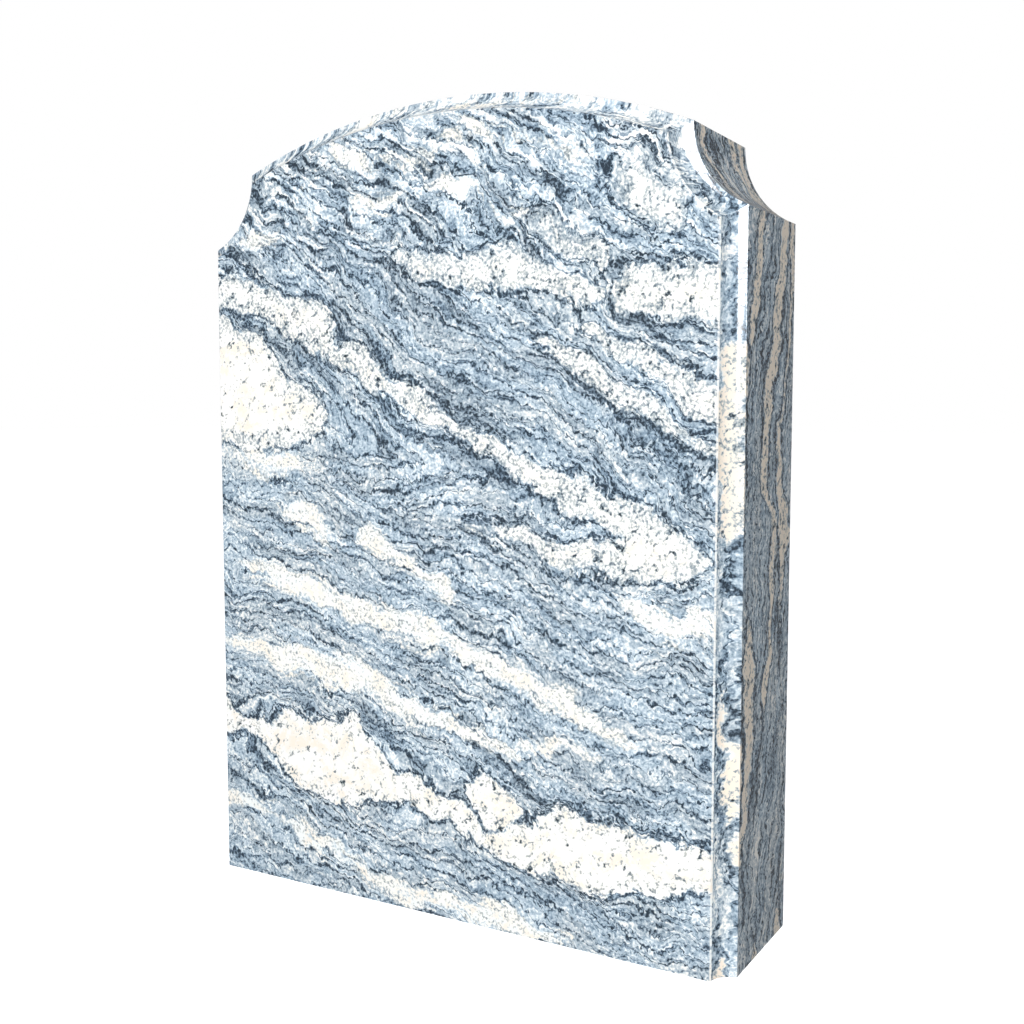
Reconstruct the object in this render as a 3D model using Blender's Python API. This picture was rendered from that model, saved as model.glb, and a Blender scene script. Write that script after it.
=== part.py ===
# A headstone: one upright slab of polished banded stone that stands by its own weight.
# The top is a shallow arch with a hollow scoop cut from each corner. A cove is worked
# along the front edge, up both sides and over the top. The base and the back are plain.
# Metres, +Z up. The origin is the middle of the underside, and the front faces -Y.

import math

import bmesh
import bpy
from mathutils import Vector

# The slab
WIDTH = 0.6096
HEIGHT = 0.8128
THICKNESS = 0.1524

# The top outline: the arch's apex above its ends, and the scoop at each corner
ARCH_RISE = 0.0508
SCOOP_WIDTH = 0.0508
SCOOP_HEIGHT = 0.0762
SCOOP_SAG = 0.0139

# The front edge: a narrow flat arris beside the face, then the cove out to the side
MOULDING_WIDTH = 0.0191
MOULDING_DEPTH = 0.0203
ARRIS_WIDTH = 0.0015
ARRIS_DEPTH = 0.0021
COVE_SAG = 0.0038

# Facets along each curve
SCOOP_STEPS = 20
HALF_ARCH_STEPS = 24
COVE_STEPS = 12

# Edges flatter than this are shaded smooth
SMOOTH_ANGLE = math.radians(15.0)

# The stone's overall colour (linear RGB) and polish
STONE_COLOUR = (0.58, 0.60, 0.61, 1.0)
STONE_ROUGHNESS = 0.15


def arc_centre_and_radius(start, end, sag):
    """The circle through start and end whose arc bulges by sag to the left of the chord."""
    chord = end - start
    half_chord = chord.length / 2.0
    radius = (half_chord ** 2 + sag ** 2) / (2.0 * sag)
    left = Vector((-chord.y, chord.x)).normalized()
    centre = (start + end) / 2.0 - left * (radius - sag)
    return centre, radius


def points_on_arc(centre, start, end, steps):
    """Evenly spaced points from start to end, both included, the short way round centre."""
    first = start - centre
    turn = (end - centre).angle_signed(first)
    points = []
    for step in range(steps + 1):
        angle = math.atan2(first.y, first.x) + turn * step / steps
        points.append(centre + first.length * Vector((math.cos(angle), math.sin(angle))))
    return points


def circles_meet(centre_a, radius_a, centre_b, radius_b):
    """Where two circles cross, on the left of the line from centre_a to centre_b."""
    between = centre_b - centre_a
    along = (between.length ** 2 + radius_a ** 2 - radius_b ** 2) / (2.0 * between.length)
    across = math.sqrt(radius_a ** 2 - along ** 2)
    direction = between.normalized()
    left = Vector((-direction.y, direction.x))
    return centre_a + direction * along + left * across


def outline(inset):
    """The front outline, seen as (x, z), drawn in by inset from the slab's own edge.

    It runs from the right foot over the top to the left foot, and every inset has the
    same number of points, with its corners mitred.
    """
    arch_end = Vector((WIDTH / 2.0 - SCOOP_WIDTH, HEIGHT - ARCH_RISE))
    shoulder = Vector((WIDTH / 2.0, arch_end.y - SCOOP_HEIGHT))
    other_arch_end = Vector((-arch_end.x, arch_end.y))
    scoop_centre, scoop_radius = arc_centre_and_radius(shoulder, arch_end, SCOOP_SAG)
    arch_centre, arch_radius = arc_centre_and_radius(other_arch_end, arch_end, ARCH_RISE)

    side_x = WIDTH / 2.0 - inset
    scoop_radius += inset
    arch_radius -= inset
    reach = scoop_centre.x - side_x
    shoulder_z = scoop_centre.y - math.sqrt(scoop_radius ** 2 - reach ** 2)
    inset_shoulder = Vector((side_x, shoulder_z))
    inset_arch_end = circles_meet(arch_centre, arch_radius, scoop_centre, scoop_radius)
    apex = arch_centre + Vector((0.0, arch_radius))

    right = [Vector((side_x, 0.0))]
    right += points_on_arc(scoop_centre, inset_shoulder, inset_arch_end, SCOOP_STEPS)
    right += points_on_arc(arch_centre, inset_arch_end, apex, HALF_ARCH_STEPS)[1:]
    left = [Vector((-point.x, point.y)) for point in reversed(right[:-1])]
    return right + left


def edge_profile():
    """(inset, depth behind the front face) of each ring, from the back to the face."""
    cove_outer = Vector((0.0, MOULDING_DEPTH))
    cove_inner = Vector((MOULDING_WIDTH - ARRIS_WIDTH, ARRIS_DEPTH))
    cove_centre, _ = arc_centre_and_radius(cove_outer, cove_inner, COVE_SAG)
    profile = [Vector((0.0, THICKNESS))]
    profile += points_on_arc(cove_centre, cove_outer, cove_inner, COVE_STEPS)
    profile.append(Vector((MOULDING_WIDTH, 0.0)))
    return profile


def headstone_mesh():
    """Rings of the outline, one for each point of the edge profile, closed all round."""
    shape = bmesh.new()
    front_y = -THICKNESS / 2.0
    rings = []
    for inset, depth in edge_profile():
        ring = [shape.verts.new((x, front_y + depth, z)) for x, z in outline(inset)]
        rings.append(ring)

    for outer, inner in zip(rings, rings[1:]):
        for index in range(len(outer) - 1):
            shape.faces.new((outer[index], outer[index + 1], inner[index + 1], inner[index]))
    back = rings[0]
    front = rings[-1]
    shape.faces.new(back)
    shape.faces.new(front)
    right_feet = [ring[0] for ring in rings]
    left_feet = [ring[-1] for ring in rings]
    shape.faces.new(right_feet + left_feet[::-1])
    bmesh.ops.recalc_face_normals(shape, faces=shape.faces)

    mesh = bpy.data.meshes.new("headstone")
    shape.to_mesh(mesh)
    shape.free()
    mesh.shade_smooth()
    mesh.set_sharp_from_angle(angle=SMOOTH_ANGLE)
    return mesh


def stone_material():
    """Polished stone in its average colour."""
    material = bpy.data.materials.new("polished_banded_stone")
    material.use_nodes = True
    shader = material.node_tree.nodes["Principled BSDF"]
    shader.inputs["Base Color"].default_value = STONE_COLOUR
    shader.inputs["Roughness"].default_value = STONE_ROUGHNESS
    shader.inputs["Metallic"].default_value = 0.0
    return material


def main():
    for old_object in list(bpy.data.objects):
        bpy.data.objects.remove(old_object, do_unlink=True)
    headstone = bpy.data.objects.new("headstone", headstone_mesh())
    headstone.data.materials.append(stone_material())
    bpy.context.scene.collection.objects.link(headstone)


main()
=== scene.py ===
import math

import bmesh
import bpy
from mathutils import Matrix, Vector


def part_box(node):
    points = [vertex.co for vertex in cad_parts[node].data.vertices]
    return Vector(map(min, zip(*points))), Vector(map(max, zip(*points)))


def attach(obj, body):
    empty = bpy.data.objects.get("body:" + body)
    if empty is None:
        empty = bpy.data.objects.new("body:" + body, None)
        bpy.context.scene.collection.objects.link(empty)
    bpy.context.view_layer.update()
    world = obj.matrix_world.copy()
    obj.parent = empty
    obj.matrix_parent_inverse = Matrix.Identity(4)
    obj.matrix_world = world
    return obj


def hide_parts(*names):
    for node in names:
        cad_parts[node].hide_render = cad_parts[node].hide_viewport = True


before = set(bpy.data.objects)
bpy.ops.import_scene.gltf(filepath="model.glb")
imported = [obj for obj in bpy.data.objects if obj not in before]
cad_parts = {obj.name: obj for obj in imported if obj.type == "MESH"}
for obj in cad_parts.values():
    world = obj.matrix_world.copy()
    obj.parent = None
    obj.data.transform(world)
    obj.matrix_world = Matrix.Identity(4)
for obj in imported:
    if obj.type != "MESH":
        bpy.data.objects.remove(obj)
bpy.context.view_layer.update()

# The camera
# It stands to the right of the stone, a little above its middle, and looks slightly down.
CAMERA_PLACE = (0.6721, -1.0915, 0.5077)
CAMERA_TURN = math.radians(30.16)
CAMERA_DROP = math.radians(4.59)
CAMERA_LENS = 43.59

camera_data = bpy.data.cameras.new("camera")
camera_data.lens = CAMERA_LENS
camera_data.sensor_width = 36.0
camera_data.clip_start = 0.05
camera = bpy.data.objects.new("camera", camera_data)
camera.location = CAMERA_PLACE
camera.rotation_euler = (math.radians(90.0) - CAMERA_DROP, 0.0, CAMERA_TURN)
bpy.context.scene.collection.objects.link(camera)
bpy.context.scene.camera = camera

# The slab
# One block of stone, sawn to an arch with a scoop at each corner, coved along its front
# edge and polished all over. Its outline is drawn ring by ring, from the back to the face,
# and the rings are bridged, so the cove keeps its shape round every corner.
ARCH_RISE = 0.0508
SCOOP_WIDTH = 0.0508
SCOOP_HEIGHT = 0.0762
SCOOP_SAG = 0.0139
MOULDING_WIDTH = 0.0191
MOULDING_DEPTH = 0.0203
ARRIS_WIDTH = 0.0015
ARRIS_DEPTH = 0.0021
COVE_SAG = 0.0038
EASED_EDGE = 0.0004         # how far each sharp edge is rubbed back by hand
SCOOP_STEPS = 36
ARCH_STEPS = 96
COVE_STEPS = 20
SAME_POINT = 1e-5           # points closer than this are one point
SAME_PLANE = 1e-6
FACES_DOWN = -0.99          # a face whose normal's z is below this is part of the underside
SHARP_EDGE = math.radians(15.0)
SMOOTH_UNDER = math.radians(35.0)

slab_low, slab_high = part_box("headstone")
half_width = slab_high.x
height = slab_high.z
front_y = slab_low.y
back_y = slab_high.y
thickness = back_y - front_y


def circle_on_chord(start, end, sag):
    """Centre and radius of the circle whose arc bulges by sag to the left of the chord."""
    chord = end - start
    radius = chord.length ** 2 / (8.0 * sag) + sag / 2.0
    left = Vector((-chord.y, chord.x)).normalized()
    return (start + end) / 2.0 - left * (radius - sag), radius


def turn_between(centre, start, end):
    """The angle from start to end as seen from centre, positive from +X towards +Z."""
    return (end - centre).angle_signed(start - centre)


MIRRORED = Vector((-1.0, 1.0))
shoulder = Vector((half_width, height - ARCH_RISE - SCOOP_HEIGHT))
arch_end = Vector((half_width - SCOOP_WIDTH, height - ARCH_RISE))
scoop_centre, scoop_radius = circle_on_chord(shoulder, arch_end, SCOOP_SAG)
arch_centre, arch_radius = circle_on_chord(Vector((-arch_end.x, arch_end.y)), arch_end, ARCH_RISE)


def draw_outline(inset, y):
    """One closed ring in the open mesh: a plane without its top edge, then three swept arcs."""
    side_x = half_width - inset
    scoop_reach = scoop_radius + inset
    arch_reach = arch_radius - inset
    drop = math.sqrt(scoop_reach ** 2 - (scoop_centre.x - side_x) ** 2)
    foot_of_scoop = Vector((side_x, scoop_centre.y - drop))
    apart = scoop_centre - arch_centre
    along = (apart.length ** 2 + arch_reach ** 2 - scoop_reach ** 2) / (2.0 * apart.length)
    across = math.sqrt(arch_reach ** 2 - along ** 2)
    direction = apart.normalized()
    head_of_scoop = arch_centre + direction * along + Vector((-direction.y, direction.x)) * across

    bpy.ops.mesh.select_all(action="DESELECT")
    bpy.ops.mesh.primitive_plane_add(
        size=1.0,
        location=(0.0, y, 0.5),
        rotation=(math.pi / 2.0, 0.0, 0.0),
    )
    bpy.ops.transform.resize(
        value=(2.0 * side_x, 1.0, foot_of_scoop.y),
        orient_type="GLOBAL",
        center_override=(0.0, y, 0.0),
    )
    mesh = bmesh.from_edit_mesh(slab.data)
    for vertex in mesh.verts:
        vertex.select_set(vertex.select and vertex.co.z > foot_of_scoop.y / 2.0)
    mesh.select_flush_mode()
    bpy.ops.mesh.delete(type="EDGE_FACE")

    mesh = bmesh.from_edit_mesh(slab.data)
    for vertex in mesh.verts:
        from_foot = Vector((vertex.co.x, vertex.co.z)) - foot_of_scoop
        vertex.select_set(from_foot.length < SAME_POINT and abs(vertex.co.y - y) < SAME_PLANE)
    mesh.select_flush_mode()
    arcs = (
        (scoop_centre, foot_of_scoop, head_of_scoop, SCOOP_STEPS),
        (arch_centre, head_of_scoop, head_of_scoop * MIRRORED, ARCH_STEPS),
        (scoop_centre * MIRRORED, head_of_scoop * MIRRORED, foot_of_scoop * MIRRORED, SCOOP_STEPS),
    )
    for centre, start, end, steps in arcs:
        bpy.ops.mesh.spin(
            steps=steps,
            angle=turn_between(centre, start, end),
            center=(centre.x, y, centre.y),
            axis=(0.0, 1.0, 0.0),
        )


# The cove, from the side in to the arris, as (inset, depth behind the face)
cove_outer = Vector((0.0, MOULDING_DEPTH))
cove_inner = Vector((MOULDING_WIDTH - ARRIS_WIDTH, ARRIS_DEPTH))
cove_centre, cove_radius = circle_on_chord(cove_outer, cove_inner, COVE_SAG)
cove_turn = turn_between(cove_centre, cove_outer, cove_inner)
cove_start = math.atan2(cove_outer.y - cove_centre.y, cove_outer.x - cove_centre.x)
edge_profile = [Vector((0.0, thickness))]
for step in range(COVE_STEPS + 1):
    angle = cove_start + cove_turn * step / COVE_STEPS
    edge_profile.append(cove_centre + cove_radius * Vector((math.cos(angle), math.sin(angle))))
edge_profile.append(Vector((MOULDING_WIDTH, 0.0)))

bpy.ops.object.select_all(action="DESELECT")
bpy.ops.mesh.primitive_plane_add(size=1.0)
slab = bpy.context.active_object
slab.name = "headstone_polished"
slab.data.name = "headstone_polished"
bpy.ops.object.mode_set(mode="EDIT")
bpy.ops.mesh.select_all(action="SELECT")
bpy.ops.mesh.delete(type="VERT")
bpy.ops.mesh.select_mode(type="VERT")
for inset, depth in edge_profile:
    draw_outline(inset, front_y + depth)

bpy.ops.mesh.select_all(action="SELECT")
bpy.ops.mesh.remove_doubles(threshold=SAME_POINT)
bpy.ops.mesh.select_all(action="SELECT")
bpy.ops.mesh.bridge_edge_loops()
for cap_y in (front_y, back_y):
    mesh = bmesh.from_edit_mesh(slab.data)
    for vertex in mesh.verts:
        vertex.select_set(abs(vertex.co.y - cap_y) < SAME_PLANE)
    mesh.select_flush_mode()
    bpy.ops.mesh.edge_face_add()

bpy.ops.mesh.select_all(action="SELECT")
bpy.ops.mesh.normals_make_consistent(inside=False)

# The strips of the underside are made one face, and every sharp edge is eased
mesh = bmesh.from_edit_mesh(slab.data)
for face in mesh.faces:
    face.select_set(face.normal.z < FACES_DOWN)
bpy.ops.mesh.dissolve_faces()
bpy.ops.mesh.select_mode(type="EDGE")
bpy.ops.mesh.select_all(action="DESELECT")
bpy.ops.mesh.edges_select_sharp(sharpness=SHARP_EDGE)
bpy.ops.mesh.bevel(offset=EASED_EDGE, segments=2, profile=0.5, affect="EDGES")
bpy.ops.object.mode_set(mode="OBJECT")
bpy.ops.object.shade_smooth_by_angle(angle=SMOOTH_UNDER)
slab.modifiers.new("flat_faces", "WEIGHTED_NORMAL").keep_sharp = True
bpy.ops.object.modifier_apply(modifier="flat_faces")

# The figure of the stone
# Pale feldspar bands and dark mica veins lie folded together in a speckled blue-grey
# ground. The face was cut almost along the beds, so they sweep across it in broad folds,
# and the narrow sides cut the beds across, so there they stand on end.
INCH = 0.0254

# The pale bands of the face, each as points along it from left to right: how far right of
# the middle and up from the foot its middle line is, and half its width, all in inches.
# A half width below zero ends a band.
PALE_BANDS = {
    "tongue": (
        (-12.0, 21.2, 2.6), (-9.7, 21.05, 2.5), (-8.8, 20.8, 2.2), (-8.0, 20.35, 1.65),
        (-7.0, 20.0, 1.2), (-6.1, 19.85, 0.75), (-5.6, 19.75, 0.1), (-5.2, 19.7, -0.8),
    ),
    "long band": (
        (-12.0, 25.05, 0.85), (-9.7, 25.0, 0.8), (-8.6, 24.65, 0.75), (-7.45, 24.1, 0.83),
        (-6.3, 23.6, 0.9), (-5.4, 23.15, 0.85), (-4.9, 22.5, 0.55), (-2.9, 21.4, 0.57),
        (-0.65, 20.1, 0.5), (0.4, 19.6, 0.35), (1.4, 19.1, 0.25), (2.3, 18.75, 0.45),
        (3.6, 18.1, 0.58), (5.0, 17.4, 0.62), (6.4, 16.75, 0.6), (7.6, 16.2, 0.6),
        (9.2, 15.8, 0.5), (10.2, 15.4, 0.2), (10.9, 15.1, -0.4),
    ),
    "hinge": (
        (0.9, 15.7, -0.2), (1.4, 15.6, 0.12), (2.8, 15.45, 0.28), (3.9, 15.3, 0.32),
        (4.8, 14.85, 0.45), (6.2, 14.65, 0.62), (7.4, 14.6, 0.62), (8.2, 15.05, 1.05),
        (9.35, 15.1, 1.12), (10.3, 14.95, 0.85), (10.9, 14.75, 0.3), (11.3, 14.7, -0.6),
    ),
    "lower left lens": (
        (-12.0, 7.3, 0.4), (-11.0, 6.95, 0.45), (-10.2, 6.6, 0.3), (-9.6, 6.4, 0.3),
        (-9.1, 6.3, 0.45), (-8.3, 6.0, 0.9), (-7.4, 5.8, 1.4), (-5.9, 5.65, 1.65),
        (-4.2, 5.7, 1.78), (-3.7, 5.5, 1.4), (-2.9, 5.35, 0.93), (-2.2, 5.05, 0.57),
        (-0.2, 4.7, 0.5), (0.95, 4.3, 0.5), (1.9, 3.75, 0.25), (2.6, 3.5, -0.4),
    ),
    "lower right lens": (
        (0.9, 3.6, -0.3), (1.6, 3.6, 0.12), (2.6, 3.45, 0.45), (3.5, 3.45, 0.77), (4.4, 3.6, 1.0),
        (5.3, 3.8, 1.27), (7.3, 3.7, 1.2), (8.5, 3.8, 1.2), (9.6, 3.9, 1.03), (10.7, 4.0, 0.8),
        (12.0, 3.95, 0.55),
    ),
    "spur": (
        (0.6, 5.7, -0.4), (1.0, 5.6, 0.2), (1.4, 5.2, 0.65), (2.1, 5.0, 0.95), (2.8, 4.8, 0.8),
        (3.4, 4.85, 0.15), (3.8, 4.9, -0.4),
    ),
    "upper right lens": (
        (7.1, 24.3, -0.4), (7.6, 24.35, 0.3), (8.0, 24.3, 0.55), (8.5, 24.2, 0.8),
        (9.6, 24.05, 0.88), (10.7, 23.9, 0.9), (12.0, 23.75, 0.85),
    ),
    "right diagonal": (
        (4.3, 22.6, -0.3), (5.0, 22.2, 0.25), (6.2, 21.5, 0.4), (7.3, 20.75, 0.45),
        (8.5, 20.2, 0.52), (9.6, 19.8, 0.4), (10.5, 19.1, 0.2), (11.3, 18.4, 0.1),
        (12.0, 17.7, -0.2),
    ),
    "right, second": (
        (5.6, 23.2, -0.3), (6.6, 22.8, 0.2), (7.8, 22.2, 0.25), (9.2, 21.4, 0.4),
        (10.6, 20.7, 0.55), (12.0, 20.0, 0.6),
    ),
    "crown, middle": (
        (-3.0, 25.9, -0.3), (-1.5, 25.8, 0.3), (-0.2, 25.6, 0.45), (1.2, 25.35, 0.6),
        (3.0, 25.35, 0.72), (4.4, 24.9, 0.5), (6.2, 24.4, 0.5), (7.0, 24.5, 0.15),
        (7.5, 24.6, -0.5),
    ),
    "crown, slant": (
        (3.2, 27.3, -0.2), (3.9, 27.0, 0.3), (4.8, 26.65, 0.5), (5.7, 26.2, 0.45),
        (6.6, 25.7, 0.3), (7.2, 25.4, -0.3),
    ),
    "crown, right": (
        (6.9, 28.1, -0.4), (7.4, 28.1, 0.35), (8.0, 27.85, 0.9), (8.9, 27.5, 1.3),
        (9.6, 27.3, 1.2), (10.0, 27.4, 0.4), (10.4, 27.4, -0.5),
    ),
}
# Cloudy bands, paler than the ground but speckled all through
CLOUDY_BANDS = {
    "under the tongue": (
        (-12.0, 18.1, 0.05), (-10.0, 18.1, 0.3), (-8.6, 17.9, 0.45), (-7.5, 17.9, 0.45),
        (-6.5, 17.9, 0.25), (-5.4, 17.6, -0.2),
    ),
    "left, small": (
        (-8.4, 16.3, -0.3), (-7.5, 16.0, 0.33), (-6.5, 15.6, 0.45), (-5.5, 15.2, 0.35),
        (-4.6, 14.9, -0.3),
    ),
    "middle": (
        (-4.2, 15.0, -0.3), (-3.2, 14.8, 0.35), (-2.2, 14.4, 0.42), (-0.3, 13.5, 0.38),
        (0.5, 13.1, 0.2), (1.1, 12.9, -0.3),
    ),
    "left band": (
        (-10.6, 13.5, -0.2), (-9.3, 13.35, 0.45), (-7.2, 12.8, 0.55), (-4.5, 12.2, 0.45),
        (-3.0, 11.8, 0.4), (-0.6, 11.4, 0.55), (1.0, 11.0, 0.45), (2.2, 10.4, 0.35),
        (4.0, 9.8, 0.5), (6.0, 9.2, 0.3), (7.4, 8.4, 0.25), (9.2, 7.7, -0.2),
    ),
    "low band": (
        (-11.6, 10.2, 0.1), (-9.5, 9.9, 0.4), (-7.5, 9.7, 0.65), (-5.5, 9.4, 0.75),
        (-3.8, 9.0, 0.6), (-2.0, 8.4, 0.45), (-0.5, 8.0, 0.45), (1.0, 7.7, 0.4), (2.5, 7.4, 0.25),
        (4.2, 7.3, 0.2), (5.5, 7.7, 0.25), (7.0, 7.4, -0.2),
    ),
    "right, cream": (
        (7.2, 13.5, -0.3), (8.2, 13.2, 0.3), (9.0, 12.75, 0.5), (9.8, 12.3, 0.5),
        (10.4, 12.7, 0.65), (11.0, 12.6, 0.55), (12.0, 12.3, 0.2),
    ),
    "foot": (
        (-11.6, 3.2, 0.05), (-10.0, 3.1, 0.22), (-8.5, 2.8, 0.1), (-7.6, 2.4, 0.12),
        (-6.2, 1.9, 0.33), (-4.6, 1.4, 0.3), (-3.0, 0.85, 0.2), (-1.5, 0.6, 0.28),
        (0.5, 0.7, 0.36), (2.6, 0.5, 0.4), (5.0, 0.3, 0.25), (6.2, 0.2, -0.2),
    ),
    "crown, high": (
        (-10.3, 27.0, -0.3), (-9.3, 27.2, 0.25), (-8.3, 27.2, 0.3), (-7.4, 27.0, -0.2),
        (-5.5, 29.8, -0.2), (-4.6, 30.1, 0.25), (-3.6, 29.8, 0.15), (-2.2, 29.7, 0.35),
        (-1.2, 29.6, 0.33), (-0.3, 29.9, 0.1), (0.6, 30.7, 0.3), (1.8, 30.5, 0.3),
        (2.9, 30.1, 0.0), (4.6, 29.8, 0.1), (5.6, 29.5, 0.25), (6.6, 29.2, -0.2),
    ),
    "crown, centre": (
        (-5.0, 28.4, -0.2), (-3.8, 28.2, 0.28), (-2.5, 28.0, 0.2), (-1.3, 28.7, -0.1),
        (0.0, 28.7, 0.25), (1.1, 28.4, 0.33), (2.1, 28.0, 0.2), (2.7, 27.3, 0.3),
        (3.4, 27.2, 0.2), (4.2, 27.4, -0.4),
    ),
}
# Beds with more mica than the rest, which lie against the pale bands
DARK_BANDS = {
    "over the tongue": (
        (-12.0, 24.0, 0.25), (-9.7, 23.9, 0.3), (-8.6, 23.45, 0.35), (-7.6, 22.6, 0.45),
        (-6.6, 21.9, 0.5), (-5.8, 21.2, 0.45), (-5.0, 20.2, 0.3), (-4.4, 19.5, -0.3),
    ),
    "over the long band": (
        (-6.6, 24.6, -0.2), (-5.8, 24.3, 0.2), (-5.2, 23.9, 0.3), (-4.4, 23.0, 0.25),
        (-2.6, 21.9, 0.2), (0.0, 20.8, 0.15), (2.5, 19.6, 0.12), (4.0, 18.9, -0.2),
    ),
    "under the long band": (
        (-4.0, 21.0, -0.2), (-2.6, 20.3, 0.2), (-1.1, 19.4, 0.28), (0.5, 18.6, 0.25),
        (2.1, 17.8, 0.3), (3.6, 17.0, 0.3), (4.8, 16.4, 0.25), (5.8, 15.8, -0.2),
    ),
    "over the diagonals": (
        (1.0, 25.0, -0.1), (2.2, 24.2, 0.15), (3.6, 23.0, 0.2), (5.5, 21.5, 0.2),
        (7.5, 20.0, 0.22), (9.0, 19.0, 0.25), (10.2, 17.9, 0.3), (11.2, 16.7, 0.3),
        (12.0, 15.8, 0.2),
    ),
    "under the upper right lens": (
        (6.6, 24.2, -0.2), (7.2, 23.9, 0.25), (8.2, 23.2, 0.35), (9.6, 22.7, 0.35),
        (11.0, 22.3, 0.3), (12.0, 22.0, 0.2),
    ),
    "over the lower left lens": (
        (-4.0, 7.8, -0.1), (-3.4, 7.2, 0.25), (-2.6, 6.6, 0.35), (-1.2, 6.0, 0.3),
        (0.0, 5.7, 0.2), (0.8, 5.4, -0.2),
    ),
    "over the spur": (
        (0.2, 6.6, -0.2), (1.2, 6.9, 0.2), (2.4, 6.6, 0.3), (3.4, 6.2, 0.45), (4.4, 5.7, 0.4),
        (5.6, 5.5, 0.25), (6.6, 5.4, -0.2),
    ),
}
# On the sides the bands run up, so there a point's first value is how far up it is, and its
# second is its depth behind the face. They go on over the top and down the left side.
EDGE_BANDS = {
    "cove": (
        (0.0, 0.3, 0.1), (3.0, 0.5, -0.2), (7.0, 0.6, 0.12), (9.5, 0.4, 0.15), (11.0, 0.5, -0.2),
        (15.0, 0.55, -0.2), (16.2, 0.5, 0.3), (19.0, 0.4, 0.4), (21.8, 0.5, 0.38),
        (23.0, 0.6, -0.2), (30.0, 0.5, -0.2), (38.0, 0.4, 0.25), (44.0, 0.5, -0.2),
        (49.0, 0.4, 0.3), (54.0, 0.5, -0.1),
    ),
    "front": (
        (0.5, 1.5, -0.2), (4.5, 1.1, 0.1), (6.0, 1.3, 0.3), (8.0, 1.6, 0.45), (11.0, 1.55, 0.42),
        (12.6, 1.3, 0.25), (13.4, 1.1, -0.2), (21.6, 1.2, -0.2), (22.6, 1.4, 0.3),
        (26.0, 2.2, 0.3), (29.5, 1.9, 0.15), (34.0, 1.4, 0.35), (41.0, 1.7, 0.3),
        (46.0, 1.5, -0.2), (52.0, 1.8, 0.3),
    ),
    "middle": (
        (0.0, 2.6, 0.3), (1.5, 2.4, -0.2), (8.5, 2.9, -0.1), (10.5, 3.6, 0.3), (12.0, 3.9, 0.1),
        (13.5, 3.8, 0.25), (16.0, 4.2, 0.3), (17.2, 3.0, 0.25), (20.0, 3.1, 0.36),
        (23.0, 4.0, 0.4), (26.5, 4.8, 0.35), (29.0, 4.9, 0.2), (33.0, 4.2, 0.3), (38.0, 3.6, 0.3),
        (44.0, 3.9, -0.1), (49.0, 3.3, 0.35), (53.0, 3.6, 0.2),
    ),
    "back": (
        (0.0, 5.3, 0.2), (2.0, 5.4, -0.1), (6.0, 5.6, -0.2), (14.0, 5.0, 0.1), (15.5, 5.3, 0.35),
        (18.5, 4.5, 0.15), (22.0, 5.3, 0.1), (25.0, 5.8, 0.2), (31.0, 5.4, 0.3),
        (40.0, 5.2, -0.1), (47.0, 5.4, 0.3), (53.0, 5.0, 0.1),
    ),
}


def feed(tree, socket, value):
    """Links a socket to a node's output, or sets it to a plain value."""
    if isinstance(value, bpy.types.NodeSocket):
        tree.links.new(value, socket)
    else:
        socket.default_value = value


def calculate(tree, operation, *values):
    """A Math node."""
    node = tree.nodes.new("ShaderNodeMath")
    node.operation = operation
    for socket, value in zip(node.inputs, values):
        feed(tree, socket, value)
    return node.outputs["Value"]


def calculate_vector(tree, operation, *values):
    """A Vector Math node."""
    node = tree.nodes.new("ShaderNodeVectorMath")
    node.operation = operation
    for socket, value in zip(node.inputs, values):
        feed(tree, socket, value)
    return node.outputs["Value" if operation == "DOT_PRODUCT" else "Vector"]


def split(tree, vector):
    """The three parts of a vector."""
    node = tree.nodes.new("ShaderNodeSeparateXYZ")
    feed(tree, node.inputs["Vector"], vector)
    return node.outputs["X"], node.outputs["Y"], node.outputs["Z"]


def join(tree, x, y, z):
    """A vector from three parts."""
    node = tree.nodes.new("ShaderNodeCombineXYZ")
    for name, value in (("X", x), ("Y", y), ("Z", z)):
        feed(tree, node.inputs[name], value)
    return node.outputs["Vector"]


def spread(tree, value, low, high, to_low=0.0, to_high=1.0):
    """A smooth step of a value from one range to another."""
    node = tree.nodes.new("ShaderNodeMapRange")
    node.interpolation_type = "SMOOTHSTEP"
    named = (("From Min", low), ("From Max", high), ("To Min", to_low), ("To Max", to_high))
    feed(tree, node.inputs["Value"], value)
    for name, part in named:
        feed(tree, node.inputs[name], part)
    return node.outputs["Result"]


MIX_SOCKETS = {"FLOAT": "VALUE", "VECTOR": "VECTOR", "RGBA": "RGBA"}


def choose(tree, kind, factor, first, second):
    """A Mix node of numbers (FLOAT), vectors (VECTOR) or colours (RGBA)."""
    node = tree.nodes.new("ShaderNodeMix")
    node.data_type = kind
    ends = [socket for socket in node.inputs if socket.type == MIX_SOCKETS[kind]]
    feed(tree, node.inputs[0], factor)
    feed(tree, ends[-2], first)
    feed(tree, ends[-1], second)
    return next(socket for socket in node.outputs if socket.type == MIX_SOCKETS[kind])


def noise(tree, vector, scale, detail, roughness, output="Fac", flat=False):
    """A Noise texture. With a vector as scale, its grain is longer one way than another."""
    node = tree.nodes.new("ShaderNodeTexNoise")
    node.noise_dimensions = "2D" if flat else "3D"
    if isinstance(scale, tuple):
        vector = calculate_vector(tree, "MULTIPLY", vector, scale)
        scale = 1.0
    feed(tree, node.inputs["Vector"], vector)
    node.inputs["Scale"].default_value = scale
    node.inputs["Detail"].default_value = detail
    node.inputs["Roughness"].default_value = roughness
    return node.outputs[output]


def curve(tree, value, points):
    """A Float Curve node through some points."""
    node = tree.nodes.new("ShaderNodeFloatCurve")
    line = node.mapping.curves[0]
    line.points[0].location = points[0]
    line.points[1].location = points[-1]
    for point in points[1:-1]:
        line.points.new(*point)
    node.mapping.update()
    feed(tree, node.inputs["Value"], value)
    return node.outputs["Value"]


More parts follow.
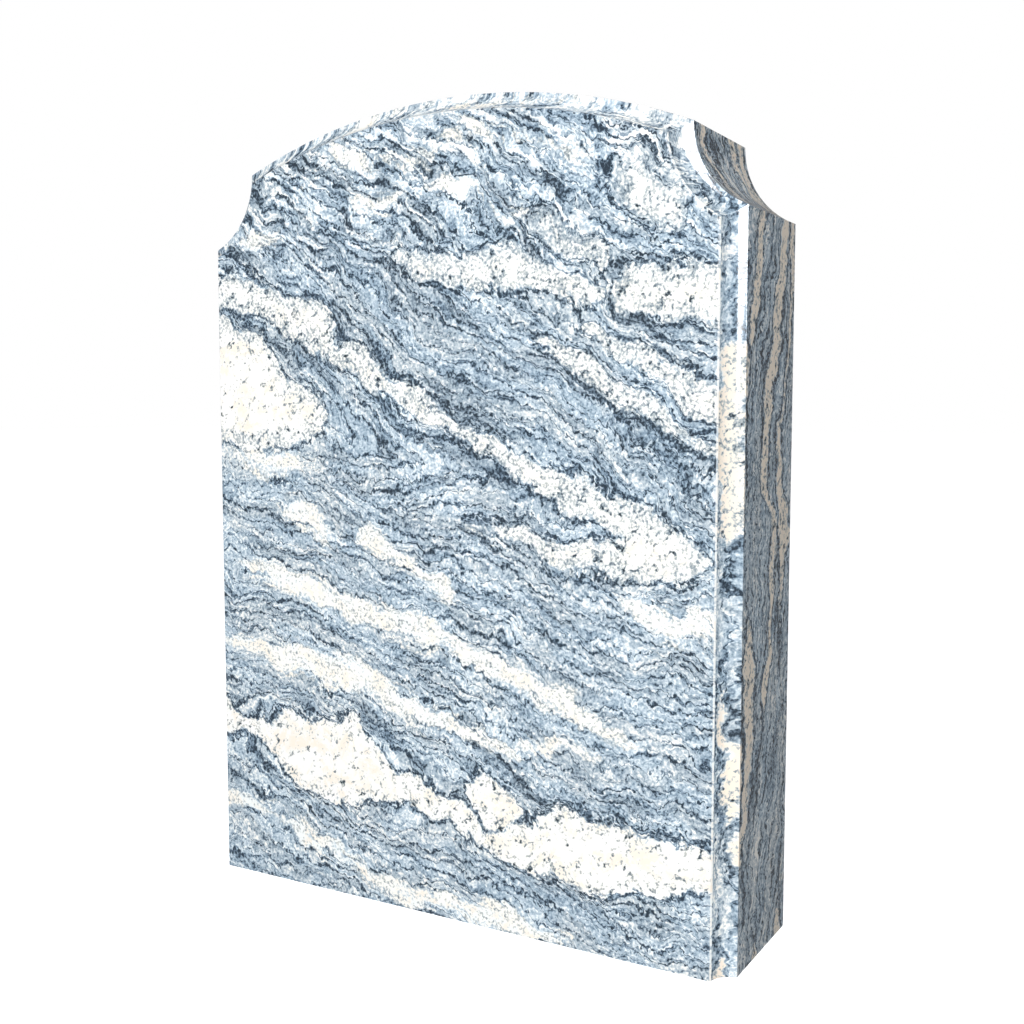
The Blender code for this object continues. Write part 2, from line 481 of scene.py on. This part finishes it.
def new_group(name, inputs, outputs):
    """An empty node group with named sockets, its inputs' outputs and its outputs' inputs."""
    group = bpy.data.node_groups.new(name, "ShaderNodeTree")
    for socket_name, socket_type in inputs:
        group.interface.new_socket(name=socket_name, in_out="INPUT", socket_type=socket_type)
    for socket_name, socket_type in outputs:
        group.interface.new_socket(name=socket_name, in_out="OUTPUT", socket_type=socket_type)
    given = group.nodes.new("NodeGroupInput").outputs
    result = group.nodes.new("NodeGroupOutput").inputs
    return group, given, result


def place_group(tree, group, values):
    """A node group in a tree, with its inputs linked or set by name."""
    node = tree.nodes.new("ShaderNodeGroup")
    node.node_tree = group
    for name, value in values.items():
        feed(tree, node.inputs[name], value)
    return node.outputs


# How far one lens pushes the beds aside
push_group, given, result = new_group(
    "push_of_lens",
    (
        ("Place", "NodeSocketVector"),
        ("Middle", "NodeSocketVector"),
        ("Along", "NodeSocketVector"),
        ("Across", "NodeSocketVector"),
        ("Half width", "NodeSocketFloat"),
    ),
    (("Push", "NodeSocketFloat"),),
)
from_middle = calculate_vector(push_group, "SUBTRACT", given["Place"], given["Middle"])
along_lens = calculate_vector(push_group, "DOT_PRODUCT", from_middle, given["Along"])
across_lens = calculate_vector(push_group, "DOT_PRODUCT", from_middle, given["Across"])
reach = calculate(push_group, "MULTIPLY", along_lens, along_lens)
reach = calculate(push_group, "MULTIPLY_ADD", across_lens, across_lens, reach)
reach = calculate(push_group, "MAXIMUM", reach, 1.0)
offset = calculate(push_group, "MULTIPLY", across_lens, given["Half width"])
feed(push_group, result["Push"], calculate(push_group, "DIVIDE", offset, reach))

# One set of veins: thin dark lines that follow the beds, wander, swell and die out
SWELLING = (0.35, 0.65)     # the range of the noise that a vein swells over
THINNEST = 0.35
CORE = 0.2                  # how much of a vein's half thickness is fully dark
vein_group, given, result = new_group(
    "dark_veins",
    (
        ("Bed", "NodeSocketVector"),
        ("Stretch", "NodeSocketVector"),
        ("Veins per metre", "NodeSocketFloat"),
        ("Wander", "NodeSocketFloat"),
        ("Thickness", "NodeSocketFloat"),
    ),
    (("Vein", "NodeSocketFloat"),),
)
stretched = calculate_vector(vein_group, "MULTIPLY", given["Bed"], given["Stretch"])
wander = noise(vein_group, stretched, 1.0, 2.0, 0.55, "Color", flat=True)
sideways, swelling, _ = split(vein_group, wander)
across_beds = split(vein_group, given["Bed"])[0]
count = calculate(vein_group, "MULTIPLY", across_beds, given["Veins per metre"])
count = calculate(vein_group, "MULTIPLY_ADD", sideways, given["Wander"], count)
off_vein = calculate(vein_group, "PINGPONG", count, 0.5)
half_vein = spread(vein_group, swelling, *SWELLING, THINNEST, 1.0)
half_vein = calculate(vein_group, "MULTIPLY", half_vein, given["Thickness"])
core = calculate(vein_group, "MULTIPLY", half_vein, CORE)
feed(vein_group, result["Vein"], spread(vein_group, off_vein, core, half_vein, 1.0, 0.0))

stone = bpy.data.materials.new("polished_banded_stone")
stone.use_nodes = True
tree = stone.node_tree
shader = tree.nodes["Principled BSDF"]


def scaled(value, factor, plus):
    """A value times a factor, plus another value."""
    return calculate(tree, "MULTIPLY_ADD", value, factor, plus)


def product(first, second):
    """Two values multiplied."""
    return calculate(tree, "MULTIPLY", first, second)


def difference(first, second):
    """The first value less the second."""
    return calculate(tree, "SUBTRACT", first, second)


def larger(first, second):
    """The larger of two values."""
    return calculate(tree, "MAXIMUM", first, second)


def along_direction(place, direction):
    """How far a place lies along a direction."""
    return calculate_vector(tree, "DOT_PRODUCT", place, direction)


# Which face a point lies on
MITRE_FALL = 0.62           # how far the scoop's mitre falls for each metre of inset
object_place = tree.nodes.new("ShaderNodeTexCoord").outputs["Object"]
x, y, z = split(tree, object_place)
depth = difference(y, front_y)
off_middle = calculate(tree, "ABSOLUTE", x)
inset_in = difference(half_width, off_middle)
behind_arris = calculate(tree, "GREATER_THAN", depth, ARRIS_DEPTH)
behind_cove = calculate(tree, "GREATER_THAN", depth, MOULDING_DEPTH + EASED_EDGE / 2.0)
under_mitre = calculate(tree, "LESS_THAN", scaled(inset_in, MITRE_FALL, z), shoulder.y)
in_cove = difference(behind_arris, behind_cove)
in_side_cove = product(behind_arris, under_mitre)
on_side = larger(behind_cove, in_side_cove)
on_back = calculate(tree, "GREATER_THAN", depth, thickness - EASED_EDGE / 2.0)
on_edge = difference(on_side, on_back)

# The stone changes with height: the lenses low down are solid, and the crown is jumbled. The
# first effect fades out between two heights, and the second fades in.
LOW_LENS_HEIGHTS = (0.2, 0.34)
CROWN_HEIGHTS = (0.62, 0.7)
low_lens = spread(tree, z, *LOW_LENS_HEIGHTS, 1.0, 0.0)
crown = spread(tree, z, *CROWN_HEIGHTS)

# The cove over the arch, up to its mitres. It rises nearly on a square curve of its depth, and
# the beds in it are turned back and lean the other way.
MITRE_RUN = 0.955           # how far the arch's mitre runs inwards for each metre of inset
COVE_RISE = (25.7, 0.5)     # the bend and the first slope of the curve that the cove rises on
BEDS_BACK = (44.0, 1.6)     # the same for the curve that the beds are turned back by


def square_curve(value, bend, slope):
    """A square curve of a value, through nought."""
    return product(value, scaled(value, bend, slope))


inner_mitre = arch_end.x - MITRE_RUN * (MOULDING_WIDTH - ARRIS_WIDTH)
cove_rise = square_curve(difference(depth, ARRIS_DEPTH), *COVE_RISE)
over_arch = calculate(tree, "LESS_THAN", off_middle, scaled(cove_rise, MITRE_RUN, inner_mitre))
turned_back = product(square_curve(depth, *BEDS_BACK), over_arch)

# Where it lies in the figure: the face as it is, the back upside down, and the sides and
# the top unrolled into one strip that lies apart in the same plane. The upright coves go
# with the sides, and the cove over the top goes with the face.
EDGE_APART = 1.0
strip_x = scaled(calculate(tree, "SIGN", x), product(inset_in, in_side_cove), x)
edge_along = calculate(tree, "ADD", difference(z, strip_x), half_width)
front_place = join(tree, x, difference(z, turned_back), 0.0)
back_place = join(tree, product(x, -1.0), difference(height, z), 0.0)
edge_place = join(tree, calculate(tree, "ADD", depth, EDGE_APART), edge_along, 0.0)
figure_place = choose(tree, "VECTOR", on_side, front_place, edge_place)
figure_place = choose(tree, "VECTOR", on_back, figure_place, back_place)

# Grains, which crumble every edge, and folds of three sizes. A scale here is how many there
# are to the metre, and a shift is how far they move the stone.
GRAIN_SCALE = 330.0
GRAIN_SHIFT = 0.003
CRINKLE_SCALE = 110.0
CRINKLE_SHIFT = 0.006
WAVE_SCALE = 22.0
WAVE_SHIFT = 0.024
CROWN_SHIFT = 0.008         # how much more the waves move it in the crown
FOLD_SCALE = 5.0
FOLD_SHIFT = 0.05


def moved(place, scale, detail, shift):
    """The place, moved by a noise of the given size."""
    swirl = noise(tree, figure_place, scale, detail, 0.55, "Color", flat=True)
    centred = calculate_vector(tree, "SUBTRACT", swirl, (0.5, 0.5, 0.5))
    by = calculate_vector(tree, "MULTIPLY", centred, join(tree, shift, shift, 0.0))
    return calculate_vector(tree, "ADD", place, by)


grain = noise(tree, object_place, GRAIN_SCALE, 1.0, 0.55)
centred_grain = difference(grain, 0.5)
wave_shift = scaled(crown, CROWN_SHIFT, WAVE_SHIFT)
grained_place = moved(figure_place, GRAIN_SCALE, 0.0, GRAIN_SHIFT)
crinkled_place = moved(grained_place, CRINKLE_SCALE, 1.0, CRINKLE_SHIFT)
band_place = moved(crinkled_place, WAVE_SCALE, 1.0, wave_shift)
folded_place = moved(band_place, FOLD_SCALE, 0.0, FOLD_SHIFT)

# How far a point is outside the nearest band. A curve node holds only values from 0 to 1, so
# the half widths are scaled up and lifted to fit it.
WIDTH_GAIN = 8.0
WIDTH_LIFT = 0.3
EDGE_LENGTH = 54.0          # up the right side, over the top and down the left side, in inches
FAR_AWAY = 1.0              # the distance to bands that a face doesn't have


def outside_bands(bands, along, across, length, start):
    """The smallest distance to any of some bands, less the lift of the half widths."""
    share = calculate(tree, "DIVIDE", difference(along, start), length * INCH)
    nearest = None
    for points in bands.values():
        middles = []
        half_widths = []
        for point_along, point_across, half in points:
            place = (point_along * INCH - start) / (length * INCH)
            middles.append((place, point_across * INCH))
            half_widths.append((place, WIDTH_LIFT + WIDTH_GAIN * half * INCH))
        off_line = calculate(tree, "ABSOLUTE", difference(across, curve(tree, share, middles)))
        outside = scaled(curve(tree, share, half_widths), -1.0 / WIDTH_GAIN, off_line)
        nearest = outside if nearest is None else calculate(tree, "MINIMUM", nearest, outside)
    return nearest


def on_face_or_edge(face_distance, edge_distance):
    """The distance that goes with the face that the point lies on, with the lift taken off."""
    distance = choose(tree, "FLOAT", on_edge, face_distance, edge_distance)
    return calculate(tree, "ADD", distance, WIDTH_LIFT / WIDTH_GAIN)


band_x, band_up, _ = split(tree, band_place)
face_width = 2.0 * half_width / INCH
pale_on_face = outside_bands(PALE_BANDS, band_x, band_up, face_width, -half_width)
cloudy_on_face = outside_bands(CLOUDY_BANDS, band_x, band_up, face_width, -half_width)
dark_on_face = outside_bands(DARK_BANDS, band_x, band_up, face_width, -half_width)
band_depth = difference(band_x, EDGE_APART)
pale_on_edge = outside_bands(EDGE_BANDS, band_up, band_depth, EDGE_LENGTH, 0.0)
pale_distance = on_face_or_edge(pale_on_face, pale_on_edge)
cloudy_distance = on_face_or_edge(cloudy_on_face, FAR_AWAY)
dark_distance = on_face_or_edge(dark_on_face, FAR_AWAY)

# The broad lenses, which the beds bend round, as (right, up, half length, half width, degrees
# down to the right), in inches
BROAD_LENSES = (
    (-5.4, 5.7, 4.2, 1.6, 8.0),
    (7.0, 3.75, 5.0, 1.2, 0.0),
    (9.8, 24.0, 3.0, 0.9, 8.0),
)
pushes = 0.0
for right, up, half_length, half_width_in, tilt in BROAD_LENSES:
    angle = math.radians(tilt)
    pushed = place_group(tree, push_group, {
        "Place": band_place,
        "Middle": (right * INCH, up * INCH, 0.0),
        "Along": Vector((math.cos(angle), -math.sin(angle), 0.0)) / (half_length * INCH),
        "Across": Vector((math.sin(angle), math.cos(angle), 0.0)) / (half_width_in * INCH),
        "Half width": half_width_in * INCH,
    })
    pushes = calculate(tree, "ADD", pushed["Push"], pushes)

# The beds: folded about a line that falls from the tongue to the hinge, with small
# crenulations that bend neighbouring beds alike
FOLD_START = (-12.0 * INCH, 21.6 * INCH, 0.0)
FOLD_FALL = math.radians(16.5)
ALONG_FOLD = (math.cos(FOLD_FALL), -math.sin(FOLD_FALL), 0.0)
ABOVE_FOLD = (math.sin(FOLD_FALL), math.cos(FOLD_FALL), 0.0)
FOLD_ROUNDNESS = 0.006
CLOSING = 0.28              # how fast the beds close on the fold's line, for each metre along it
OPENING_UNDER = -0.03       # the same for the beds well under the line, which open a little
WELL_UNDER = -0.045
FACE_LEAN = 0.8             # how the figure along the beds leans as they rise
EDGE_LEAN = -0.2            # how far the beds of the sides lean for each metre up
CRENULATION = 0.014
CRENULATION_SCALE = (34.0, 100.0, 0.0)

folded_x, folded_up, _ = split(tree, folded_place)
from_start = calculate_vector(tree, "SUBTRACT", folded_place, FOLD_START)
along_fold = along_direction(from_start, ALONG_FOLD)
above_fold = along_direction(from_start, ABOVE_FOLD)
bent = difference(above_fold, pushes)
limb = calculate(tree, "SQRT", scaled(bent, bent, FOLD_ROUNDNESS ** 2))
under_fold = calculate(tree, "LESS_THAN", above_fold, WELL_UNDER)
closing = scaled(under_fold, OPENING_UNDER - CLOSING, CLOSING)
across_face = scaled(closing, along_fold, limb)
along_face = scaled(above_fold, FACE_LEAN, along_fold)
across_edge = scaled(folded_up, EDGE_LEAN, folded_x)
face_bed = join(tree, across_face, along_face, 0.0)
edge_bed = join(tree, across_edge, folded_up, 0.0)
smooth_bed = choose(tree, "VECTOR", on_edge, face_bed, edge_bed)
crenulation = noise(tree, smooth_bed, CRENULATION_SCALE, 2.0, 0.6, flat=True)
crenulation = scaled(crenulation, CRENULATION, -CRENULATION / 2.0)
bed = calculate_vector(tree, "ADD", smooth_bed, join(tree, crenulation, 0.0, 0.0))

# Veins, in two sizes, the bands of the ground between them, and its mottle. A scale here is
# how many there are to the metre, across the beds and along them.
FINE_VEINS_APART = (0.31, 0.17, 0.0)
DENSITY_SCALE = (16.0, 6.0, 0.0)
GROUND_BAND_SCALE = (75.0, 14.0, 0.0)
MOTTLE_SCALE = (240.0, 120.0, 0.0)
coarse_veins = place_group(tree, vein_group, {
    "Bed": bed,
    "Stretch": (34.0, 9.0, 0.0),
    "Veins per metre": 80.0,
    "Wander": 1.6,
    "Thickness": 0.16,
})["Vein"]
fine_veins = place_group(tree, vein_group, {
    "Bed": calculate_vector(tree, "ADD", bed, FINE_VEINS_APART),
    "Stretch": (60.0, 26.0, 0.0),
    "Veins per metre": 130.0,
    "Wander": 1.6,
    "Thickness": 0.26,
})["Vein"]
density = noise(tree, bed, DENSITY_SCALE, 1.0, 0.5, flat=True)
centred_bands = difference(noise(tree, bed, GROUND_BAND_SCALE, 2.0, 0.6, flat=True), 0.5)
centred_mottle = difference(noise(tree, smooth_bed, MOTTLE_SCALE, 2.0, 0.7, flat=True), 0.5)

# The bands' ragged edges, in metres for each unit of noise, and the dark rim of mica beside
# the pale ones. A band fades out over a narrow range of distance about its edge.
MOTTLE_IN_EDGE = 0.3
MOTTLE_IN_CROWN_EDGE = 0.35
RAGGED_PALE = 0.03
RAGGED_PALE_SIDE = 0.014
RAGGED_CLOUDY = 0.05
RAGGED_DARK = 0.04
PALE_FADES = (-0.003, 0.003)
CLOUDY_FADES = (-0.007, 0.004)
DARK_FADES = (-0.005, 0.006)
RIM = 0.0035                # the rim's middle beyond the band, and its half width
mottle_share = scaled(crown, MOTTLE_IN_CROWN_EDGE, MOTTLE_IN_EDGE)
ragged = scaled(centred_mottle, mottle_share, centred_bands)
ragged_by = scaled(on_edge, RAGGED_PALE_SIDE - RAGGED_PALE, RAGGED_PALE)
pale_edge = scaled(ragged, ragged_by, pale_distance)
cloudy_edge = scaled(ragged, RAGGED_CLOUDY, cloudy_distance)
dark_edge = scaled(ragged, RAGGED_DARK, dark_distance)
in_cloudy = spread(tree, cloudy_edge, *CLOUDY_FADES, 1.0, 0.0)
in_dark = spread(tree, dark_edge, *DARK_FADES, 1.0, 0.0)
off_rim = calculate(tree, "ABSOLUTE", difference(pale_edge, RIM))
rim = spread(tree, off_rim, 0.0, RIM, 1.0, 0.0)

# How solid the pale bands are: fully in the middle of a broad one, less at its edges and in
# the crown, and nearly everywhere low down and on the sides
MIDDLE_TO_EDGE = (-0.028, -0.006)
LEAST_SOLID = 0.6
LOW_LENS_SOLIDER = 0.3
CROWN_LESS_SOLID = -0.4
COVE_SOLID = 0.78
SIDE_SOLID = 0.9
least_solid = scaled(low_lens, LOW_LENS_SOLIDER, LEAST_SOLID)
solid = spread(tree, pale_edge, *MIDDLE_TO_EDGE, 1.0, least_solid)
solid = scaled(crown, CROWN_LESS_SOLID, solid)
solid_edge = product(on_edge, scaled(behind_cove, SIDE_SOLID - COVE_SOLID, COVE_SOLID))
in_pale = spread(tree, pale_edge, *PALE_FADES, 1.0, 0.0)
in_pale = product(in_pale, larger(solid, solid_edge))

# The tone of the ground, from 0, the darkest mica, to 1, white. A range here and below is the
# part of a noise's values that an effect fades in over.
DENSITY_RANGE = (0.3, 0.6)
VEIN_STRENGTHS = (0.6, 0.85)
FINE_VEIN_STRENGTH = 0.45
CLOUDY_VEIN_LOSS = -0.6
COVE_VEIN_LOSS = -0.35
LIMBS_MEET = (-0.02, 0.03)  # the height about the fold's line where the tone changes
LIMB_TONES = (0.65, 0.6)    # the ground's own tone under the line and over it
COVE_LIFT = 0.07
MOTTLE_GAIN = 1.15
CROWN_MOTTLE_GAIN = 0.35
CLOUDY_LIFT = 0.58
DARK_BED_DROP = -0.16
STREAK_SCALE = (85.0, 30.0, 0.0)
STREAK_GAIN = 1.75
STREAK_DROP = -0.86
vein_strength = spread(tree, density, *DENSITY_RANGE, *VEIN_STRENGTHS)
veins = larger(coarse_veins, rim)
veins = larger(product(fine_veins, FINE_VEIN_STRENGTH), veins)
veins = product(veins, scaled(in_cloudy, CLOUDY_VEIN_LOSS, 1.0))
veins = product(veins, scaled(in_cove, COVE_VEIN_LOSS, 1.0))
tone = spread(tree, above_fold, *LIMBS_MEET, *LIMB_TONES)
tone = scaled(in_cove, COVE_LIFT, tone)
tone = calculate(tree, "ADD", centred_bands, tone)
tone = scaled(centred_mottle, scaled(crown, CROWN_MOTTLE_GAIN, MOTTLE_GAIN), tone)
tone = difference(tone, product(veins, vein_strength))
tone = scaled(in_cloudy, CLOUDY_LIFT, tone)
tone = scaled(in_dark, DARK_BED_DROP, tone)
crown_streaks = noise(tree, bed, STREAK_SCALE, 1.0, 0.6, flat=True)
tone = scaled(scaled(crown_streaks, STREAK_GAIN, STREAK_DROP), crown, tone)

# The tone inside the pale bands: whiter towards the middle of the broad ones, with mica in
# clusters of grains, in blotches, and in a few dark dashes that lie across the beds
CLUSTER_SCALE = 70.0
CLUSTER_RANGE = (0.42, 0.62)
CLUSTER_TONES = (1.35, 0.9)
WHITER_MIDDLE = (-0.03, -0.008)
MIDDLE_LIFT = 0.35
LOW_LENS_LIFT = 0.14
PALE_MOTTLE_GAIN = 0.8
DASH_SCALE = (80.0, 170.0, 0.0)
DASH_RANGE = (0.63, 0.77)
DASH_DROP = 1.0
DASH_ALONG = (0.72, 0.69, 0.0)
DASH_ACROSS = (-0.69, 0.72, 0.0)
BLOTCH_SCALE = 85.0
BLOTCH_RANGE = (0.66, 0.73)
BLOTCH_DROP = 0.6
clusters = noise(tree, band_place, CLUSTER_SCALE, 2.0, 0.6, flat=True)
pale_tone = spread(tree, clusters, *CLUSTER_RANGE, *CLUSTER_TONES)
middle_lift = spread(tree, pale_edge, *WHITER_MIDDLE, MIDDLE_LIFT, 0.0)
pale_tone = calculate(tree, "ADD", pale_tone, middle_lift)
pale_tone = scaled(low_lens, LOW_LENS_LIFT, pale_tone)
pale_tone = scaled(centred_mottle, PALE_MOTTLE_GAIN, pale_tone)
dash_place = join(
    tree,
    along_direction(crinkled_place, DASH_ALONG),
    along_direction(crinkled_place, DASH_ACROSS),
    0.0,
)
dashes = noise(tree, dash_place, DASH_SCALE, 1.0, 0.5, flat=True)
pale_tone = difference(pale_tone, spread(tree, dashes, *DASH_RANGE, 0.0, DASH_DROP))
blotches = noise(tree, crinkled_place, BLOTCH_SCALE, 1.0, 0.5, flat=True)
pale_tone = difference(pale_tone, spread(tree, blotches, *BLOTCH_RANGE, 0.0, BLOTCH_DROP))

# Both together, never quite black outside the crown, and speckled by the grain, most of all
# where the stone is pale
DARKEST = 0.06
GRAIN_GAIN = 1.15
PALE_GRAIN_GAIN = 1.7
CLOUDY_GRAIN = 0.7
tone = choose(tree, "FLOAT", in_pale, tone, pale_tone)
tone = larger(tone, scaled(crown, -DARKEST, DARKEST))
paleness = scaled(in_cloudy, CLOUDY_GRAIN, in_pale)
tone = scaled(centred_grain, scaled(paleness, PALE_GRAIN_GAIN, GRAIN_GAIN), tone)

# The arris is painted paler than the polish beside it, a painted highlight for the light it
# catches. Over the arch it catches less light, so most of that painted highlight is taken off.
ARRIS_PAINTED_HIGHLIGHT = 0.6
ARCH_ARRIS_HIGHLIGHT_LOSS = -0.85
painted_arris_highlight = spread(tree, depth, ARRIS_DEPTH, ARRIS_DEPTH + EASED_EDGE, 1.0, 0.0)
painted_arris_highlight = product(painted_arris_highlight, calculate(tree, "GREATER_THAN", depth, EASED_EDGE))
painted_arris_highlight = product(painted_arris_highlight, scaled(over_arch, ARCH_ARRIS_HIGHLIGHT_LOSS, 1.0))
# the painted highlight on the arris, lifting its tone
tone = scaled(painted_arris_highlight, ARRIS_PAINTED_HIGHLIGHT, tone)

# The colour of each tone, from the darkest mica to white
STONE_TONES = (
    (0.00, (0.030, 0.044, 0.062)),
    (0.12, (0.084, 0.121, 0.168)),
    (0.27, (0.178, 0.246, 0.318)),
    (0.42, (0.290, 0.375, 0.462)),
    (0.57, (0.405, 0.495, 0.580)),
    (0.73, (0.550, 0.630, 0.700)),
    (0.87, (0.725, 0.780, 0.820)),
    (1.00, (0.930, 0.935, 0.920)),
)
toned = tree.nodes.new("ShaderNodeValToRGB")
ramp = toned.color_ramp
ramp.elements.remove(ramp.elements[1])
ramp.elements[0].position = STONE_TONES[0][0]
ramp.elements[0].color = STONE_TONES[0][1] + (1.0,)
for position, colour in STONE_TONES[1:]:
    ramp.elements.new(position).color = colour + (1.0,)
feed(tree, toned.inputs["Fac"], tone)

# The ground is bluer in some beds than in others, and the pale bands have a warm tint, in
# patches on the face and all over on the sides
COOL = (0.96, 1.0, 1.02, 1.0)
MILD = (1.02, 1.0, 0.97, 1.0)
CREAM = (1.0, 0.88, 0.75, 1.0)
PURE = (1.0, 1.0, 1.0, 1.0)
HUE_SCALE = (45.0, 12.0, 0.0)
HUE_RANGE = (0.38, 0.64)
WARMTH_SCALE = 34.0
WARMTH_RANGE = (0.42, 0.66)
FACE_WARMTH = 0.75
CLOUDY_WARMTH = 0.8
GREY_TONES = (0.75, 1.0)    # in the pale bands the greyer grains are warm, and white ones aren't
hue = noise(tree, bed, HUE_SCALE, 2.0, 0.6, flat=True)
tint = choose(tree, "RGBA", spread(tree, hue, *HUE_RANGE), COOL, MILD)
tint = choose(tree, "RGBA", in_pale, tint, PURE)
warmth = noise(tree, band_place, WARMTH_SCALE, 4.0, 0.8, flat=True)
warmth = larger(spread(tree, warmth, *WARMTH_RANGE, 0.0, FACE_WARMTH), on_edge)
warmth = larger(warmth, spread(tree, tone, *GREY_TONES, 1.0, 0.0))
warmth = product(warmth, larger(in_pale, product(in_cloudy, CLOUDY_WARMTH)))
tint = choose(tree, "RGBA", warmth, tint, CREAM)
tinted = tree.nodes.new("ShaderNodeMix")
tinted.data_type = "RGBA"
tinted.blend_type = "MULTIPLY"
tinted.inputs["Factor"].default_value = 1.0
mix_ends = [socket for socket in tinted.inputs if socket.type == "RGBA"]
tree.links.new(toned.outputs["Color"], mix_ends[0])
tree.links.new(tint, mix_ends[1])
mixed = next(socket for socket in tinted.outputs if socket.type == "RGBA")
tree.links.new(mixed, shader.inputs["Base Color"])

# Polish: the mica takes a little less of it than the rest, and the grains stand a little
# uneven in it
MICA_ROUGHNESS = 0.14
PALE_ROUGHNESS = 0.07
FULLY_POLISHED = 0.6        # the tone from which the stone takes all of it
GRAIN_RELIEF = 0.0001
RELIEF_STRENGTH = 0.15
roughness = spread(tree, tone, 0.0, FULLY_POLISHED, MICA_ROUGHNESS, PALE_ROUGHNESS)
tree.links.new(roughness, shader.inputs["Roughness"])
bump = tree.nodes.new("ShaderNodeBump")
bump.inputs["Strength"].default_value = RELIEF_STRENGTH
bump.inputs["Distance"].default_value = GRAIN_RELIEF
feed(tree, bump.inputs["Height"], grain)
tree.links.new(bump.outputs["Normal"], shader.inputs["Normal"])

slab.data.materials.append(stone)
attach(slab, "root")
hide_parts("headstone")

# The floor
# A pale studio floor, bright enough to run into the white backdrop.
FLOOR_SIZE = 60.0
FLOOR_DROP = 0.0005         # it lies just clear of the stone's underside
FLOOR_GLOW = 0.84
bpy.ops.object.select_all(action="DESELECT")
bpy.ops.mesh.primitive_plane_add(size=FLOOR_SIZE, location=(0.0, 0.0, -FLOOR_DROP))
floor = bpy.context.active_object
floor.name = "floor"
floor_paint = bpy.data.materials.new("floor_paint")
floor_paint.use_nodes = True
floor_shader = floor_paint.node_tree.nodes["Principled BSDF"]
floor_shader.inputs["Base Color"].default_value = (0.9, 0.9, 0.9, 1.0)
floor_shader.inputs["Roughness"].default_value = 0.9
floor_shader.inputs["Emission Color"].default_value = (1.0, 1.0, 1.0, 1.0)
floor_shader.inputs["Emission Strength"].default_value = FLOOR_GLOW
floor.data.materials.append(floor_paint)
floor.visible_diffuse = False
floor.visible_glossy = False

# The light
# A white backdrop, a dim even room, and one softbox to the right of the front. A white card
# round it shows only in the polish.
ROOM_GREY = 0.22
KEY_AZIMUTH = math.radians(20.0)
KEY_HEIGHT = math.radians(20.0)
KEY_DISTANCE = 4.0
KEY_SIZE = 2.4
KEY_POWER = 200.0
CARD_AZIMUTH = math.radians(32.0)
CARD_HEIGHT = math.radians(25.0)
CARD_SIZE = 2.9
CARD_ROLL = math.radians(-15.0)
CARD_POWER = 600.0

world = bpy.data.worlds.new("studio")
world.use_nodes = True
bpy.context.scene.world = world
room_tree = world.node_tree
room = room_tree.nodes["Background"]
room.inputs["Color"].default_value = (ROOM_GREY, ROOM_GREY, ROOM_GREY, 1.0)
backdrop = room_tree.nodes.new("ShaderNodeBackground")
backdrop.inputs["Color"].default_value = (1.0, 1.0, 1.0, 1.0)
rays = room_tree.nodes.new("ShaderNodeLightPath")
seen = room_tree.nodes.new("ShaderNodeMixShader")
room_tree.links.new(rays.outputs["Is Camera Ray"], seen.inputs["Fac"])
room_tree.links.new(room.outputs["Background"], seen.inputs[1])
room_tree.links.new(backdrop.outputs["Background"], seen.inputs[2])
room_tree.links.new(seen.outputs["Shader"], room_tree.nodes["World Output"].inputs["Surface"])


def softbox(name, azimuth, elevation, distance, size, power, roll):
    """A square lamp that faces the middle of the stone; azimuth is to the right of the front."""
    data = bpy.data.lights.new(name, "AREA")
    data.shape = "SQUARE"
    data.size = size
    data.energy = power
    lamp = bpy.data.objects.new(name, data)
    target = Vector((0.0, 0.0, height / 2.0))
    towards = Vector((
        math.sin(azimuth) * math.cos(elevation),
        -math.cos(azimuth) * math.cos(elevation),
        math.sin(elevation),
    ))
    lamp.location = target + distance * towards
    facing = (-towards).to_track_quat("-Z", "Y").to_matrix() @ Matrix.Rotation(roll, 3, "Z")
    lamp.rotation_euler = facing.to_euler()
    bpy.context.scene.collection.objects.link(lamp)
    return lamp


key = softbox("softbox", KEY_AZIMUTH, KEY_HEIGHT, KEY_DISTANCE, KEY_SIZE, KEY_POWER, 0.0)
key.visible_glossy = False
card = softbox(
    "polish_card",
    CARD_AZIMUTH,
    CARD_HEIGHT,
    KEY_DISTANCE,
    CARD_SIZE,
    CARD_POWER,
    CARD_ROLL,
)
card.visible_diffuse = False

bpy.context.scene.view_settings.view_transform = "Standard"
